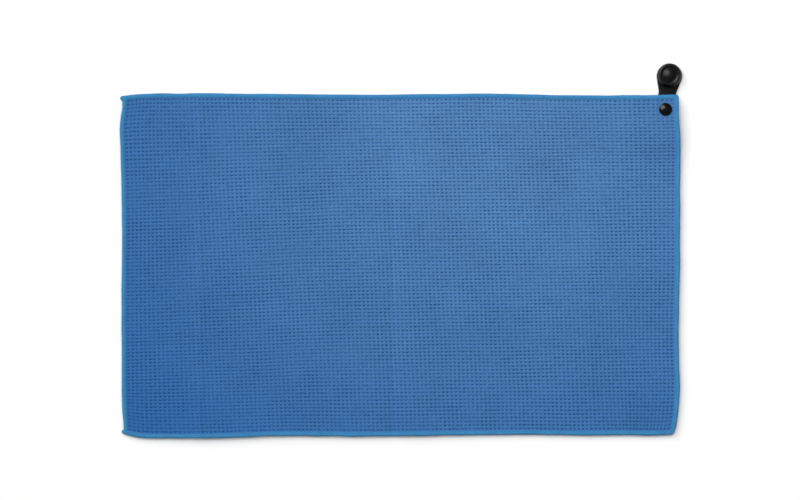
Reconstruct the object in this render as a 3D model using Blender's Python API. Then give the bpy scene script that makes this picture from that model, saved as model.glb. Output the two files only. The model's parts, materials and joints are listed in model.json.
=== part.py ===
"""A golf towel: waffle cloth with overlocked edges, and a silicone magnet tab on a press stud at one corner.

Metres, +Z up. The towel lies flat on the plane z = 0, its length along X and its width along Y, with the
origin at the middle of the cloth's underside. The tab is on the back of the corner at +X +Y, and reaches
past the edge.

The towel folds in half about one crease across its width, so the cloth is two panels with the crease's gap
between them. The tab pulls off downwards with the male half of the press stud, swivels about the stud, and
flexes at its neck.
"""

import math

import bmesh
import bpy
from mathutils import Matrix, Vector

# Overall sizes of the towel, and the clearance that touching pieces keep.
TOWEL_LENGTH = 0.500
TOWEL_WIDTH = 0.306
GAP = 0.0003

# Cloth and its overlocked edging.
CLOTH_THICKNESS = 0.0024
RIM_THICKNESS = 0.0014
EDGING_WIDTH = 0.0042
EDGING_WALL = 0.0005
EDGING_CHAMFER = 0.0006
CREASE_X = -0.0087

# Where the press stud sits, measured in from the corner's two edges, and the tab's lean away from +Y.
STUD_FROM_END = 0.0121
STUD_FROM_SIDE = 0.0141
TAB_LEAN_DEG = 7.2

# How the corner of the cloth rides up over the press stud.
LIFT_FLAT_RADIUS = 0.022
LIFT_REACH = 0.052
PRESSED_DEPTH = 0.0005

# Tab: a strap, a neck that flexes and a round pod.
STRAP_WIDTH = 0.0157
STRAP_THICKNESS = 0.0020
NECK_FROM_STUD = 0.0160
POD_FROM_STUD = 0.0302
POD_RIDGE_WALL = 0.0009
POD_RIDGE_SLOPE = 0.0013
POD_RIDGE_RISE = 0.0009
POD_SKIRT = 0.0039
POD_EDGE_HEIGHT = 0.0026
POD_ROOF = 0.0011
POD_DOME_RISE = 0.0004

# Magnet and the cap that closes its pocket.
MAGNET_RADIUS = 0.0060
MAGNET_THICKNESS = 0.0024
MAGNET_CAP_THICKNESS = 0.0010

# Press stud, from the tab's underside up to the cap on the towel's face.
POST_HEAD_RADIUS = 0.0040
POST_HEAD_THICKNESS = 0.0005
POST_SHANK_RADIUS = 0.0007
STUD_FLANGE_RADIUS = 0.0050
STUD_FLANGE_THICKNESS = 0.0005
STUD_NECK_RADIUS = 0.0016
STUD_BULB_RADIUS = 0.0020
STUD_HEIGHT = 0.0022
SOCKET_WALL = 0.0021
SOCKET_ROOF = 0.0003
SOCKET_LIP = 0.0002
SPRING_WIRE_RADIUS = 0.00025
SPRING_OPENING_DEG = 50.0
RIVET_RADIUS = 0.0011
RIVET_FLARE_RADIUS = 0.0019
RIVET_FLARE_THICKNESS = 0.0003
CAP_RADIUS = 0.0058
CAP_EDGE_THICKNESS = 0.0005
CAP_HEIGHT = 0.0018

# Fineness of the faceted surfaces.
COARSE_STEP = 0.045
FINE_STEP = 0.0045
ROUND_SEGMENTS = 40
SMALL_SEGMENTS = 24
DOME_STEPS = 6
WIRE_SIDES = 8
SMOOTH_ANGLE = math.radians(40.0)

# Heights that follow from the stack at the press stud.
FLANGE_BOTTOM = STRAP_THICKNESS + GAP
FLANGE_TOP = FLANGE_BOTTOM + STUD_FLANGE_THICKNESS
STUD_TOP = FLANGE_BOTTOM + STUD_HEIGHT
SOCKET_BOTTOM = FLANGE_TOP + GAP
FLARE_TOP = STUD_TOP + GAP + RIVET_FLARE_THICKNESS
SOCKET_TOP = FLARE_TOP + GAP + SOCKET_ROOF
CORNER_LIFT = SOCKET_TOP + GAP - PRESSED_DEPTH
CAP_BOTTOM = CORNER_LIFT + CLOTH_THICKNESS - PRESSED_DEPTH + GAP

# Radii that follow from what they hold.
SOCKET_MOUTH = STUD_BULB_RADIUS + GAP
SOCKET_BORE = SOCKET_MOUTH + 2 * SPRING_WIRE_RADIUS + GAP
SOCKET_RADIUS = SOCKET_BORE + SOCKET_WALL
POCKET_RADIUS = MAGNET_RADIUS + 2 * GAP
POCKET_DEPTH = MAGNET_CAP_THICKNESS + MAGNET_THICKNESS + 2 * GAP
POD_RIDGE_RADIUS = POCKET_RADIUS + POD_RIDGE_WALL
POD_RADIUS = POD_RIDGE_RADIUS + POD_SKIRT

# Places that follow from the towel's outline. Insets are measured in from the outer edge.
HALF_LENGTH = TOWEL_LENGTH / 2
HALF_WIDTH = TOWEL_WIDTH / 2
FIELD_INSET = EDGING_WIDTH + 2 * GAP
RIM_START_INSET = EDGING_WIDTH + GAP
RIM_END_INSET = EDGING_WALL + GAP
EDGING_THICKNESS = RIM_THICKNESS + 2 * (EDGING_WALL + GAP)
STUD_X = HALF_LENGTH - STUD_FROM_END
STUD_Y = HALF_WIDTH - STUD_FROM_SIDE

# Each material's base colour in linear light, metallic value and roughness.
MATERIALS = {
    "waffle_cloth": ((0.053, 0.159, 0.381), 0.0, 0.95),
    "overlock_thread": ((0.055, 0.290, 0.600), 0.0, 0.85),
    "black_silicone": ((0.012, 0.012, 0.013), 0.0, 0.50),
    "black_enamel": ((0.008, 0.008, 0.009), 0.0, 0.12),
    "nickel_plate": ((0.560, 0.550, 0.530), 1.0, 0.28),
    "magnet_plate": ((0.420, 0.420, 0.430), 1.0, 0.35),
}


def clear_scene():
    """Removes whatever the scene holds."""
    for thing in list(bpy.data.objects):
        bpy.data.objects.remove(thing)


def make_materials():
    """One Principled material for each entry of MATERIALS."""
    made = {}
    for name, (colour, metallic, roughness) in MATERIALS.items():
        material = bpy.data.materials.new(name)
        material.use_nodes = True
        shader = material.node_tree.nodes["Principled BSDF"]
        shader.inputs["Base Color"].default_value = (*colour, 1.0)
        shader.inputs["Metallic"].default_value = metallic
        shader.inputs["Roughness"].default_value = roughness
        made[name] = material
    return made


def add_empty(name, location, turn=0.0, parent=None):
    """An empty on a joint's axis, turned about Z."""
    empty = bpy.data.objects.new(name, None)
    bpy.context.scene.collection.objects.link(empty)
    empty.location = location
    empty.rotation_euler = (0.0, 0.0, turn)
    empty.parent = parent
    return empty


def add_object(name, bm, material, parent=None, smooth_angle=None):
    """Turns a bmesh into a named object, with its faces pointing out."""
    bmesh.ops.recalc_face_normals(bm, faces=bm.faces)
    mesh = bpy.data.meshes.new(name)
    bm.to_mesh(mesh)
    bm.free()
    mesh.materials.append(material)
    if smooth_angle is not None:
        mesh.shade_smooth()
        mesh.set_sharp_from_angle(angle=smooth_angle)
    piece = bpy.data.objects.new(name, mesh)
    bpy.context.scene.collection.objects.link(piece)
    piece.parent = parent
    return piece


def add_boolean(piece, cutter, operation):
    """Cuts a piece with another object, or joins the two. The other object becomes a guide."""
    modifier = piece.modifiers.new(operation.lower(), "BOOLEAN")
    modifier.operation = operation
    modifier.solver = "EXACT"
    modifier.object = cutter
    cutter.hide_render = True
    cutter.display_type = "WIRE"


def spaced(start, end, step):
    """Evenly spaced values from start to end, no more than a step apart."""
    count = max(1, math.ceil((end - start) / step))
    return [start + (end - start) * i / count for i in range(count + 1)]


def smoothstep(t):
    """0 below 0, 1 above 1, with a smooth rise between."""
    t = min(max(t, 0.0), 1.0)
    return t * t * (3.0 - 2.0 * t)


def corner_lift(x, y):
    """How far the towel's corner is carried up by the press stud. It doesn't change across the edging."""
    x = min(x, HALF_LENGTH - FIELD_INSET)
    y = min(y, HALF_WIDTH - FIELD_INSET)
    distance = math.hypot(x - STUD_X, y - STUD_Y)
    return CORNER_LIFT * (1.0 - smoothstep((distance - LIFT_FLAT_RADIUS) / (LIFT_REACH - LIFT_FLAT_RADIUS)))


def edge_lines(limit):
    """The cloth's three lines towards an outer edge: the field's end, the rim's start and the rim's end."""
    return [limit - FIELD_INSET, limit - RIM_START_INSET, limit - RIM_END_INSET]


def lines_along_y():
    """The lattice across the towel's width, finer where the corner lifts."""
    field = HALF_WIDTH - FIELD_INSET
    bend = STUD_Y - LIFT_REACH
    below = [-y for y in reversed(edge_lines(HALF_WIDTH))]
    flat = spaced(-field, bend, COARSE_STEP)
    lifted = spaced(bend, field, FINE_STEP)
    return below[:-1] + flat[:-1] + lifted[:-1] + edge_lines(HALF_WIDTH)


def lines_right():
    """The right panel's lattice along the towel's length, from the crease to the end."""
    bend = STUD_X - LIFT_REACH
    field = HALF_LENGTH - FIELD_INSET
    flat = spaced(CREASE_X + GAP / 2, bend, COARSE_STEP)
    lifted = spaced(bend, field, FINE_STEP)
    return flat[:-1] + lifted[:-1] + edge_lines(HALF_LENGTH)


def lines_left():
    """The left panel's lattice along the towel's length, from the end to the crease."""
    field = HALF_LENGTH - FIELD_INSET
    ends = [-x for x in reversed(edge_lines(HALF_LENGTH))]
    return ends[:-1] + spaced(-field, CREASE_X - GAP / 2, COARSE_STEP)


def at_rim(x, y):
    """Whether the cloth is pressed thin here, inside the edging."""
    edge = min(HALF_LENGTH - abs(x), HALF_WIDTH - abs(y))
    return edge < (FIELD_INSET + RIM_START_INSET) / 2


def cloth_panel(name, xs, ys, material):
    """A panel of cloth: a lattice of top and bottom points, thinner at the rim that the edging holds."""
    bm = bmesh.new()
    top, bottom = {}, {}
    for i, x in enumerate(xs):
        for j, y in enumerate(ys):
            thin = at_rim(x, y)
            low = corner_lift(x, y) + (EDGING_WALL + GAP if thin else 0.0)
            high = low + (RIM_THICKNESS if thin else CLOTH_THICKNESS)
            bottom[i, j] = bm.verts.new((x, y, low))
            top[i, j] = bm.verts.new((x, y, high))
    last_i, last_j = len(xs) - 1, len(ys) - 1
    for i in range(last_i):
        for j in range(last_j):
            corners = [(i, j), (i + 1, j), (i + 1, j + 1), (i, j + 1)]
            bm.faces.new([top[c] for c in corners])
            bm.faces.new([bottom[c] for c in reversed(corners)])
    for i in range(last_i):
        for j in (0, last_j):
            bm.faces.new([bottom[i, j], bottom[i + 1, j], top[i + 1, j], top[i, j]])
    for j in range(last_j):
        for i in (0, last_i):
            bm.faces.new([bottom[i, j], bottom[i, j + 1], top[i, j + 1], top[i, j]])
    bmesh.ops.triangulate(bm, faces=bm.faces)
    return add_object(name, bm, material)


def edging_profile():
    """The edging's section, as (inset from the outer edge, height): a C that opens inwards."""
    high = EDGING_THICKNESS
    return [
        (EDGING_WIDTH, 0.0),
        (EDGING_CHAMFER, 0.0),
        (0.0, EDGING_CHAMFER),
        (0.0, high - EDGING_CHAMFER),
        (EDGING_CHAMFER, high),
        (EDGING_WIDTH, high),
        (EDGING_WIDTH, high - EDGING_WALL),
        (EDGING_WALL, high - EDGING_WALL),
        (EDGING_WALL, EDGING_WALL),
        (EDGING_WIDTH, EDGING_WALL),
    ]


def edging(name, stations, place, material):
    """Edging along one side. place(station, inset) gives the point on the towel's plan."""
    bm = bmesh.new()
    rings = []
    for station in stations:
        ring = []
        for inset, height in edging_profile():
            x, y = place(station, inset)
            ring.append(bm.verts.new((x, y, height + corner_lift(x, y))))
        rings.append(ring)
    for first, second in zip(rings, rings[1:]):
        for k in range(len(first)):
            after = (k + 1) % len(first)
            bm.faces.new([first[k], first[after], second[after], second[k]])
    bm.faces.new(rings[0])
    bm.faces.new(rings[-1])
    bmesh.ops.triangulate(bm, faces=bm.faces)
    return add_object(name, bm, material)


def clipped(stations, low, high):
    """The stations between two limits, with the limits themselves as the ends."""
    return [low] + [s for s in stations if low + GAP < s < high - GAP] + [high]


def along_side(sign):
    """Places edging on the side at +Y or -Y: stations run along X."""
    return lambda station, inset: (station, sign * (HALF_WIDTH - inset))


def across_end(sign):
    """Places edging on the end at +X or -X: stations run along Y."""
    return lambda station, inset: (sign * (HALF_LENGTH - inset), station)


def add_towel(materials):
    """The two panels of cloth and the six runs of edging."""
    cloth, thread = materials["waffle_cloth"], materials["overlock_thread"]
    ys, right, left = lines_along_y(), lines_right(), lines_left()
    cloth_right = cloth_panel("cloth_right", right, ys, cloth)
    cloth_panel("cloth_left", left, ys, cloth)
    right_run = clipped(right, CREASE_X + GAP / 2, HALF_LENGTH)
    left_run = clipped(left, -HALF_LENGTH, CREASE_X - GAP / 2)
    for side, sign in (("top", 1), ("bottom", -1)):
        edging(f"edging_{side}_right", right_run, along_side(sign), thread)
        edging(f"edging_{side}_left", left_run, along_side(sign), thread)
    reach = HALF_WIDTH - EDGING_WIDTH - GAP
    end_run = clipped(ys, -reach, reach)
    for side, sign in (("right", 1), ("left", -1)):
        edging(f"edging_{side}", end_run, across_end(sign), thread)
    return cloth_right


def turned(name, profile, material, parent=None, segments=ROUND_SEGMENTS, smooth=True):
    """A solid turned about Z from (radius, height) points. Points at radius 0 close it on the axis."""
    bm = bmesh.new()
    verts = [bm.verts.new((radius, 0.0, height)) for radius, height in profile]
    edges = [bm.edges.new(pair) for pair in zip(verts, verts[1:])]
    closed = profile[0][0] > 0.0 or profile[-1][0] > 0.0
    if closed:
        edges.append(bm.edges.new((verts[-1], verts[0])))
    bmesh.ops.spin(
        bm,
        geom=verts + edges,
        cent=(0.0, 0.0, 0.0),
        axis=(0.0, 0.0, 1.0),
        angle=2.0 * math.pi,
        steps=segments,
        use_merge=True,
    )
    bmesh.ops.remove_doubles(bm, verts=bm.verts, dist=1e-6)
    bmesh.ops.dissolve_degenerate(bm, edges=bm.edges, dist=1e-7)
    return add_object(name, bm, material, parent, SMOOTH_ANGLE if smooth else None)


def arc_points(radius, start_deg, end_deg, count, centre=(0.0, 0.0)):
    """Points on an arc, both ends included."""
    turns = [math.radians(start_deg + (end_deg - start_deg) * i / count) for i in range(count + 1)]
    return [(centre[0] + radius * math.cos(t), centre[1] + radius * math.sin(t)) for t in turns]


def plate(name, outline, low, high, material, parent=None):
    """A flat plate with the given outline in plan, between two heights."""
    bm = bmesh.new()
    face = bm.faces.new([bm.verts.new((x, y, low)) for x, y in outline])
    raised = bmesh.ops.extrude_face_region(bm, geom=[face])["geom"]
    moved = [v for v in raised if isinstance(v, bmesh.types.BMVert)]
    bmesh.ops.translate(bm, vec=(0.0, 0.0, high - low), verts=moved)
    return add_object(name, bm, material, parent)


def press_cloth(cloth_right, material):
    """Opens the cloth at the press stud, and presses it thin under the cap and over the socket."""
    hollow = max(CAP_RADIUS, SOCKET_RADIUS) + 2 * GAP
    hole = RIVET_RADIUS + GAP
    floor = CORNER_LIFT + PRESSED_DEPTH
    roof = CORNER_LIFT + CLOTH_THICKNESS - PRESSED_DEPTH
    profile = [
        (0.0, floor - CLOTH_THICKNESS),
        (hollow, floor - CLOTH_THICKNESS),
        (hollow, floor),
        (hole, floor),
        (hole, roof),
        (hollow, roof),
        (hollow, roof + CLOTH_THICKNESS),
        (0.0, roof + CLOTH_THICKNESS),
    ]
    cutter = turned("stud_cutter", profile, material, segments=SMALL_SEGMENTS, smooth=False)
    cutter.location = (STUD_X, STUD_Y, 0.0)
    add_boolean(cloth_right, cutter, "DIFFERENCE")


def add_cap(material, parent):
    """The domed cap on the towel's face, with the rivet that passes through the cloth into the socket."""
    crown = CAP_BOTTOM + CAP_HEIGHT
    rise = CAP_HEIGHT - CAP_EDGE_THICKNESS
    dome = []
    for i in range(DOME_STEPS + 1):
        angle = math.pi / 2 * i / DOME_STEPS
        dome.append((CAP_RADIUS * math.sin(angle), crown - rise * (1.0 - math.cos(angle))))
    rivet = [
        (CAP_RADIUS, CAP_BOTTOM),
        (RIVET_RADIUS, CAP_BOTTOM),
        (RIVET_RADIUS, FLARE_TOP),
        (RIVET_FLARE_RADIUS, FLARE_TOP),
        (RIVET_FLARE_RADIUS, FLARE_TOP - RIVET_FLARE_THICKNESS),
        (0.0, FLARE_TOP - RIVET_FLARE_THICKNESS),
    ]
    return turned("snap_cap", dome + rivet, material, parent, SMALL_SEGMENTS)


def add_socket(material, parent):
    """The female half of the press stud, a cup with a lip, under the cloth."""
    inner_top = SOCKET_TOP - SOCKET_ROOF
    profile = [
        (RIVET_RADIUS + GAP, SOCKET_TOP),
        (SOCKET_RADIUS - GAP, SOCKET_TOP),
        (SOCKET_RADIUS, SOCKET_TOP - GAP),
        (SOCKET_RADIUS, SOCKET_BOTTOM),
        (SOCKET_MOUTH, SOCKET_BOTTOM),
        (SOCKET_MOUTH, SOCKET_BOTTOM + SOCKET_LIP),
        (SOCKET_BORE, SOCKET_BOTTOM + SOCKET_LIP),
        (SOCKET_BORE, inner_top),
        (RIVET_RADIUS + GAP, inner_top),
    ]
    return turned("snap_socket", profile, material, parent, SMALL_SEGMENTS)


def add_spring(material, parent):
    """The open ring of wire in the socket, which grips the stud under its bulb."""
    middle = (SOCKET_MOUTH + SPRING_WIRE_RADIUS, SOCKET_BOTTOM + SOCKET_LIP + SPRING_WIRE_RADIUS + GAP / 2)
    bm = bmesh.new()
    section = []
    for x, z in arc_points(SPRING_WIRE_RADIUS, 0.0, 360.0, WIRE_SIDES, middle)[:-1]:
        section.append(bm.verts.new((x, 0.0, z)))
    start = bm.faces.new(section)
    bmesh.ops.rotate(bm, verts=section, matrix=Matrix.Rotation(math.radians(SPRING_OPENING_DEG / 2), 3, "Z"))
    bmesh.ops.spin(
        bm,
        geom=[start],
        cent=(0.0, 0.0, 0.0),
        axis=(0.0, 0.0, 1.0),
        angle=math.radians(360.0 - SPRING_OPENING_DEG),
        steps=SMALL_SEGMENTS,
    )
    return add_object("socket_spring", bm, material, parent, SMOOTH_ANGLE)


def add_stud(material, parent):
    """The male half of the press stud: a flange on the strap, and a bulb that snaps into the socket."""
    bore = POST_SHANK_RADIUS + GAP
    shoulder = STUD_TOP - 2 * GAP
    profile = [
        (0.0, STUD_TOP),
        (STUD_BULB_RADIUS - GAP, STUD_TOP),
        (STUD_BULB_RADIUS, STUD_TOP - GAP),
        (STUD_BULB_RADIUS, shoulder),
        (STUD_NECK_RADIUS, shoulder - GAP),
        (STUD_NECK_RADIUS, FLANGE_TOP),
        (STUD_FLANGE_RADIUS, FLANGE_TOP),
        (STUD_FLANGE_RADIUS, FLANGE_BOTTOM),
        (bore, FLANGE_BOTTOM),
        (bore, shoulder),
        (0.0, shoulder),
    ]
    return turned("snap_stud", profile, material, parent, SMALL_SEGMENTS)


def add_post(material, parent):
    """The post that holds the stud: a head in the strap's underside, and a shank up into the stud."""
    tip = STUD_TOP - 3 * GAP
    profile = [
        (0.0, tip),
        (POST_SHANK_RADIUS, tip),
        (POST_SHANK_RADIUS, POST_HEAD_THICKNESS),
        (POST_HEAD_RADIUS, POST_HEAD_THICKNESS),
        (POST_HEAD_RADIUS, 0.0),
        (0.0, 0.0),
    ]
    return turned("snap_post", profile, material, parent, SMALL_SEGMENTS)


def add_strap(material, parent):
    """The strap under the cloth: a flat tongue with a round end, bored and counterbored for the post."""
    half = STRAP_WIDTH / 2
    end = NECK_FROM_STUD - STRAP_THICKNESS / 2 - GAP
    outline = [(half, end), (-half, end)] + arc_points(half, 180.0, 360.0, ROUND_SEGMENTS // 2)
    strap = plate("tab_strap", outline, 0.0, STRAP_THICKNESS, material, parent)
    hole = POST_SHANK_RADIUS + GAP
    recess = POST_HEAD_RADIUS + GAP
    profile = [
        (0.0, -STRAP_THICKNESS),
        (recess, -STRAP_THICKNESS),
        (recess, POST_HEAD_THICKNESS + GAP),
        (hole, POST_HEAD_THICKNESS + GAP),
        (hole, 2 * STRAP_THICKNESS),
        (0.0, 2 * STRAP_THICKNESS),
    ]
    cutter = turned("strap_cutter", profile, material, parent, SMALL_SEGMENTS, smooth=False)
    add_boolean(strap, cutter, "DIFFERENCE")
    return strap


def neck_outline():
    """The neck in plan, about the pod's middle: from the flex axis, its sides run to touch the pod."""
    half = STRAP_WIDTH / 2
    start = NECK_FROM_STUD - POD_FROM_STUD
    reach = math.hypot(half, start)
    touch = math.atan2(start, half) + math.acos(POD_RADIUS / reach)
    x, y = POD_RADIUS * math.cos(touch), POD_RADIUS * math.sin(touch)
    return [(-half, start), (half, start), (x, y), (-x, y)]


def add_neck(material, parent):
    """The neck: a plate as thick as the strap, with a round end about the flex axis."""
    half_thickness = STRAP_THICKNESS / 2
    neck = plate("neck_guide", neck_outline(), 0.0, STRAP_THICKNESS, material, parent)
    bm = bmesh.new()
    bmesh.ops.create_cone(
        bm,
        cap_ends=True,
        segments=SMALL_SEGMENTS,
        radius1=half_thickness,
        radius2=half_thickness,
        depth=STRAP_WIDTH,
        matrix=Matrix.Translation((0.0, NECK_FROM_STUD - POD_FROM_STUD, half_thickness))
        @ Matrix.Rotation(math.pi / 2, 4, "Y"),
    )
    hinge = add_object("neck_round_guide", bm, material, parent)
    return neck, hinge


def add_pod(material, parent):
    """The pod: a low cone with a raised ring round a domed disc, hollow from below for the magnet."""
    base_chamfer = POD_EDGE_HEIGHT / 4
    crest = POD_RIDGE_RADIUS
    bowl = POD_RIDGE_RADIUS - POD_RIDGE_SLOPE
    disc_height = POCKET_DEPTH + POD_ROOF
    ridge_height = disc_height + POD_RIDGE_RISE
    profile = [
        (0.0, disc_height + POD_DOME_RISE),
        (bowl / 2, disc_height + POD_DOME_RISE * 3 / 4),
        (bowl, disc_height),
        ((bowl + crest) / 2, ridge_height - GAP / 2),
        (crest, ridge_height),
        (crest + 2 * GAP, ridge_height - GAP),
        (POD_RADIUS - 2 * GAP, POD_EDGE_HEIGHT + 2 * GAP),
        (POD_RADIUS, POD_EDGE_HEIGHT),
        (POD_RADIUS, base_chamfer),
        (POD_RADIUS - base_chamfer, 0.0),
        (0.0, 0.0),
    ]
    pod = turned("tab_pod", profile, material, parent)
    for guide in add_neck(material, parent):
        add_boolean(pod, guide, "UNION")
    hollow = [
        (0.0, -POCKET_DEPTH),
        (POCKET_RADIUS, -POCKET_DEPTH),
        (POCKET_RADIUS, POCKET_DEPTH),
        (0.0, POCKET_DEPTH),
    ]
    cutter = turned("pocket_cutter", hollow, material, parent, smooth=False)
    add_boolean(pod, cutter, "DIFFERENCE")
    return pod


def add_magnet(material, parent):
    """The disc magnet in the pod's pocket, with a small chamfer on both rims."""
    low = MAGNET_CAP_THICKNESS + GAP
    high = low + MAGNET_THICKNESS
    profile = [
        (0.0, high),
        (MAGNET_RADIUS - GAP, high),
        (MAGNET_RADIUS, high - GAP),
        (MAGNET_RADIUS, low + GAP),
        (MAGNET_RADIUS - GAP, low),
        (0.0, low),
    ]
    return turned("magnet", profile, material, parent)


def add_magnet_cap(material, parent):
    """The disc that closes the pocket, flush with the pod's flat back."""
    radius = MAGNET_RADIUS + GAP
    profile = [(0.0, MAGNET_CAP_THICKNESS), (radius, MAGNET_CAP_THICKNESS), (radius, 0.0), (0.0, 0.0)]
    return turned("magnet_cap", profile, material, parent)


def add_press_stud(materials, swivel):
    """The press stud's pieces, all turned about the swivel axis."""
    add_cap(materials["black_enamel"], swivel)
    for build in (add_socket, add_spring, add_stud, add_post):
        build(materials["nickel_plate"], swivel)


def add_tab(materials, swivel):
    """The strap, and the pod with its magnet beyond the neck."""
    add_strap(materials["black_silicone"], swivel)
    flex = add_empty("flex_axis", (0.0, NECK_FROM_STUD, STRAP_THICKNESS / 2), parent=swivel)
    middle = Vector((0.0, POD_FROM_STUD - NECK_FROM_STUD, -STRAP_THICKNESS / 2))
    pod_place = add_empty("pod_middle", middle, parent=flex)
    add_pod(materials["black_silicone"], pod_place)
    add_magnet(materials["magnet_plate"], pod_place)
    add_magnet_cap(materials["black_silicone"], pod_place)


def main():
    clear_scene()
    materials = make_materials()
    cloth_right = add_towel(materials)
    press_cloth(cloth_right, materials["waffle_cloth"])
    swivel = add_empty("swivel_axis", (STUD_X, STUD_Y, 0.0), math.radians(-TAB_LEAN_DEG))
    add_press_stud(materials, swivel)
    add_tab(materials, swivel)


main()
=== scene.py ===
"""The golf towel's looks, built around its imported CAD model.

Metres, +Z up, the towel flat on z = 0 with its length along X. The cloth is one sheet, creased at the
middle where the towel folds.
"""

import json
import math

import bmesh
import bpy
import numpy as np
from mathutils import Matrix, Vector


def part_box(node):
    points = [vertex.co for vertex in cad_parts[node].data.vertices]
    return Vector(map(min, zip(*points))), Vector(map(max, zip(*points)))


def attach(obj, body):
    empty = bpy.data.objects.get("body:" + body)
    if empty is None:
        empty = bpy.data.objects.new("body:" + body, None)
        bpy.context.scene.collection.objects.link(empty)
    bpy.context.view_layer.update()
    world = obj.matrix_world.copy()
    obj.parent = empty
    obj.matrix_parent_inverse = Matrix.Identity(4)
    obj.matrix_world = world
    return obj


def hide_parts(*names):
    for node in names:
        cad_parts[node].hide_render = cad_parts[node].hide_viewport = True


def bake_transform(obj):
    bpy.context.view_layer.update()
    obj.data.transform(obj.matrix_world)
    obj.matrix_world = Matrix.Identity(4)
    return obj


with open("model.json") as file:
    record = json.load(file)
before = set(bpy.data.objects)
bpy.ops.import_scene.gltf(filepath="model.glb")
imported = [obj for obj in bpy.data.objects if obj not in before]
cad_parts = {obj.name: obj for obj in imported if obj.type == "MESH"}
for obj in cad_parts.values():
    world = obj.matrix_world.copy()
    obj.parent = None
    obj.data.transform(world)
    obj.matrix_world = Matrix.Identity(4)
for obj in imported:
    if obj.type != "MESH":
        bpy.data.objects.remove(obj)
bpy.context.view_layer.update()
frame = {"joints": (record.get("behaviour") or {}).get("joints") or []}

MM = 0.001
SEED = 7

# The towel's plan, from the frame.
LEFT_LOW, LEFT_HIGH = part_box("edging_left")
_, RIGHT_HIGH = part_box("edging_right")
TOP_LOW, TOP_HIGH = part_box("edging_top_left")
HALF_LENGTH = -LEFT_LOW.x
HALF_WIDTH = TOP_HIGH.y
CLOTH_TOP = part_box("cloth_left")[1].z
RIM_INSET = HALF_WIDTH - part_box("cloth_left")[1].y
EDGING_WIDTH = TOP_HIGH.y - TOP_LOW.y
EDGING_TOP = TOP_HIGH.z
CORNER_LIFT = RIGHT_HIGH.z - LEFT_HIGH.z

# The press stud and the tab, from the frame.
CAP_LOW, CAP_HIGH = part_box("snap_cap")
STUD = (CAP_LOW + CAP_HIGH) / 2
MAGNET_LOW, MAGNET_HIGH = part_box("magnet")
POD = (MAGNET_LOW + MAGNET_HIGH) / 2
JOINTS = {joint["name"]: joint for joint in frame["joints"]}
CREASE_X = JOINTS["fold_half"]["pos_m"][0]
FLEX = Vector(JOINTS["tab_flex"]["pos_m"])
TAB_DIRECTION = Vector((POD.x - STUD.x, POD.y - STUD.y, 0.0)).normalized()
TAB_ACROSS = Vector((TAB_DIRECTION.y, -TAB_DIRECTION.x, 0.0))

# The press stud, turned about one axis: radii and thicknesses.
CAP_RADIUS, CAP_THICKNESS, CAP_RISE = 5.8 * MM, 1.8 * MM, 1.3 * MM
RIVET_RADIUS, FLARE_RADIUS, FLARE_THICKNESS = 1.1 * MM, 1.9 * MM, 0.3 * MM
SOCKET_RADIUS, SOCKET_BORE, SOCKET_MOUTH = 5.2 * MM, 3.1 * MM, 2.3 * MM
SOCKET_ROOF, SOCKET_LIP = 0.3 * MM, 0.2 * MM
SPRING_WIRE, SPRING_OPENING = 0.25 * MM, math.radians(50.0)
FLANGE_RADIUS, FLANGE_THICKNESS = 5.0 * MM, 0.5 * MM
BULB_RADIUS, BULB_NECK = 2.0 * MM, 1.6 * MM
POST_HEAD_RADIUS, POST_HEAD_THICKNESS, POST_SHANK = 4.0 * MM, 0.5 * MM, 0.7 * MM
GAP = 0.3 * MM
ROUND_SIDES = 96
WIRE_SIDES = 16

# The silicone tab: a strap that widens past the neck into a round pod, hollow below for the magnet. The pod's
# profile is (distance from the ring's middle, height) in mm: a dome, a groove, a raised ring and the strap.
STRAP_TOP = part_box("tab_strap")[1].z
STRAP_HALF = 7.85 * MM
POD_RADIUS = 11.4 * MM
NECK = (FLEX.xy - STUD.xy).length
POD_REACH = (POD.xy - STUD.xy).length
RING_SHIFT = 1.2 * MM
POCKET_RADIUS = 6.6 * MM
POCKET_ROOF = MAGNET_HIGH.z + GAP
TAB_TOP_EDGE, TAB_BOTTOM_EDGE = 0.7 * MM, 0.5 * MM
TAB_STEPS_ROUND, TAB_STEPS_STRAIGHT, TAB_STEPS_POD, TAB_STEPS_ACROSS = 24, 110, 90, 101
POD_PROFILE = [
    (0.0, 5.97), (1.5, 5.91), (3.0, 5.72), (4.5, 5.41), (5.5, 5.15), (6.4, 4.90), (6.8, 5.06), (7.2, 5.40),
    (7.6, 5.68), (8.1, 5.85), (8.6, 5.89), (9.1, 5.78), (9.7, 5.38), (10.2, 4.60), (10.7, 3.55), (11.5, 2.65),
    (12.8, 2.15), (14.0, 2.00), (40.0, 2.00),
]

# The corner's lift, as the cloth rides over the press stud, and how the stud pinches the cloth.
LIFT_FLAT_RADIUS = 22.0 * MM
LIFT_REACH = 52.0 * MM
LIFT_CLAMP = EDGING_WIDTH + 0.6 * MM
PINCH_RADIUS, PINCH_REACH = CAP_RADIUS + 0.1 * MM, 3.0 * MM
PINCH_DEPTH = 0.5 * MM
PINCH_FLATTENING = 0.8
RIVET_HOLE = 1.55 * MM

# The waffle: cells across the cloth, and where the vertices lie in a cell. A pit's middle is at 0.5.
CELLS_X, CELLS_Y = 133, 94
CELL_STEPS_X = (0.0, 0.22, 0.37, 0.63, 0.78)
CELL_STEPS_Y = (0.0, 0.25, 0.41, 0.59, 0.75)
PIT_DEPTH = 1.00 * MM
KNOT_RISE = 0.16 * MM

# A pit in shares of its cell: half of its flat floor each way, and its sloping wall. Pits differ in depth,
# some walls between two pits are worn low, and the depth also changes from patch to patch.
PIT_FLOOR_X, PIT_FLOOR_Y, PIT_WALL = 0.08, 0.06, 0.22
PIT_RANGE = (0.70, 1.10)
WORN_WALL = 0.25
PATCH_RANGE, PATCH_SIZE = 0.20, 16.0 * MM

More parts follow.
